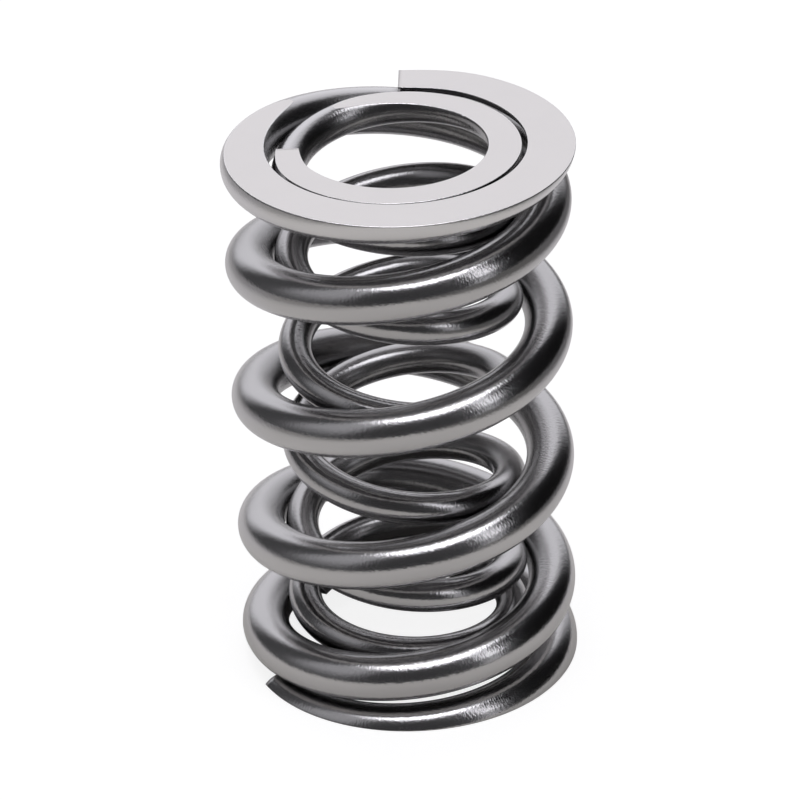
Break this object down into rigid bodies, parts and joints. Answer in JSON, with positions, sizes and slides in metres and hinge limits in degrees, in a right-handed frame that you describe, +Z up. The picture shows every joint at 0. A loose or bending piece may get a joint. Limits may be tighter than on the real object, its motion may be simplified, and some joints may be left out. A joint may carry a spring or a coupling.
{
  "type": "engine valve spring",
  "caption": "Nested pair of round-wire compression coil springs, wound in opposite directions, with closed ends ground flat, for holding an engine valve shut.",
  "frame": {"origin": "centre of the outer spring's lower ground end, on the axis of the coils", "axes": "+Z up the axis of the coils, from the end where only the outer spring reaches the seat to the end where both are level; +X is to the right and +Y away in the picture's view"},
  "size_m": [0.0335, 0.0332, 0.0549],
  "materials": {
    "outer_wire": "bright satin spring wire, ground flats lighter and matt",
    "inner_wire": "bright polished spring wire, ground flats lighter and matt"
  },
  "bodies": {
    "root": {"outer_spring": "outer_wire", "inner_spring": "inner_wire"}
  },
  "joints": []
}
